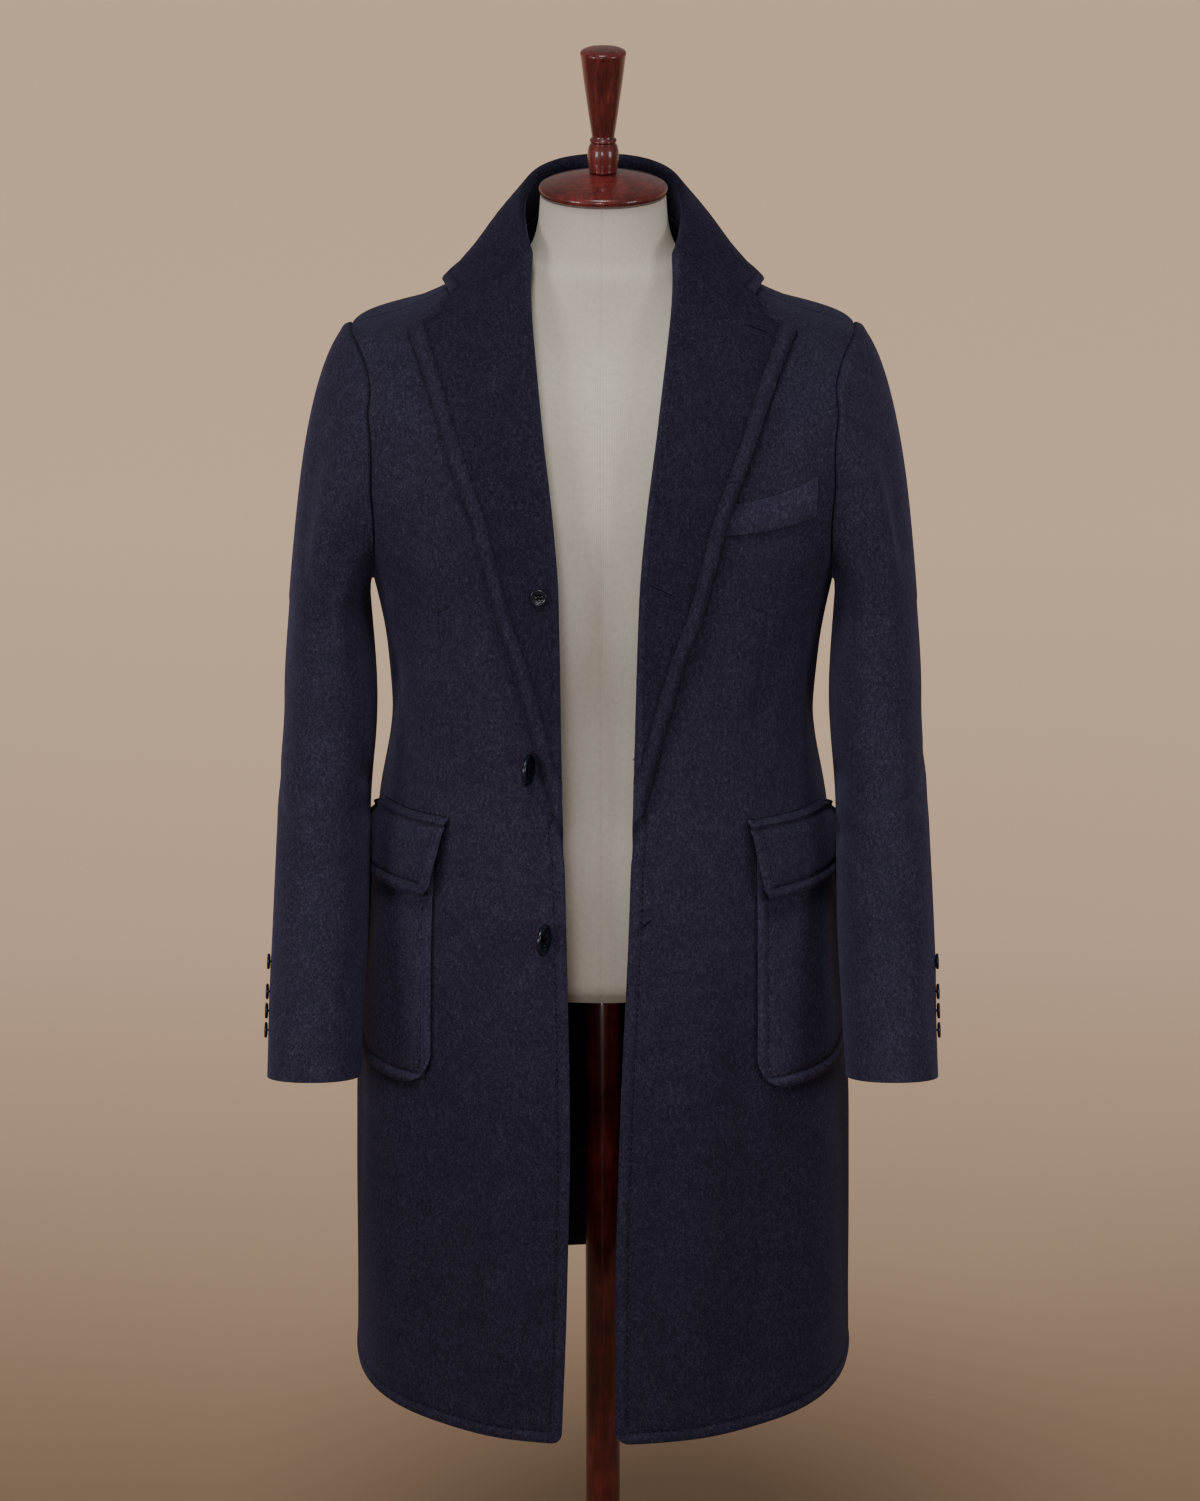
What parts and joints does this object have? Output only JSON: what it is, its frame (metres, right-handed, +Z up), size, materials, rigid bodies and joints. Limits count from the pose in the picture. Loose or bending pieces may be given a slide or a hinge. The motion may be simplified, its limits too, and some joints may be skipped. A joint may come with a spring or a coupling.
{
  "type": "wool overcoat on a dress form",
  "caption": "Open dark navy wool overcoat with notched lapels, chest welt and flapped patch pockets, worn by a limbless linen dress form with a mahogany finial, on a pole and round base.",
  "frame": {"origin": "Centre of the round base's flat underside, on the floor that the stand rests on.", "axes": "+Z up along the pole, +Y toward the coat's back, -Y toward its open front, +X toward the wearer's left."},
  "size_m": [0.5924, 0.3812, 1.6262],
  "materials": {
    "wool": "thick brushed wool, very dark navy with a faint purple cast, matt with a soft sheen at grazing angles",
    "horn": "polished horn, near black with a cool sheen",
    "linen": "plain cream linen stretched over the form, matt",
    "mahogany": "red-brown mahogany under clear gloss varnish"
  },
  "bodies": {
    "root": {"front_left": "wool", "front_right": "wool", "back_left": "wool", "back_right": "wool", "lapel_left": "wool", "lapel_right": "wool", "collar": "wool", "top_sleeve_left": "wool", "top_sleeve_right": "wool", "under_sleeve_left": "wool", "under_sleeve_right": "wool", "pocket_left": "wool", "pocket_right": "wool", "flap_left": "wool", "flap_right": "wool", "chest_welt": "wool", "button_top": "horn", "button_middle": "horn", "button_bottom": "horn", "button_backing": "horn", "cuff_button_left_1": "horn", "cuff_button_left_2": "horn", "cuff_button_left_3": "horn", "cuff_button_left_4": "horn", "cuff_button_right_1": "horn", "cuff_button_right_2": "horn", "cuff_button_right_3": "horn", "cuff_button_right_4": "horn", "form_torso": "linen", "neck_cap": "mahogany", "finial": "mahogany", "stand_pole": "mahogany", "stand_base": "mahogany"}
  },
  "joints": []
}
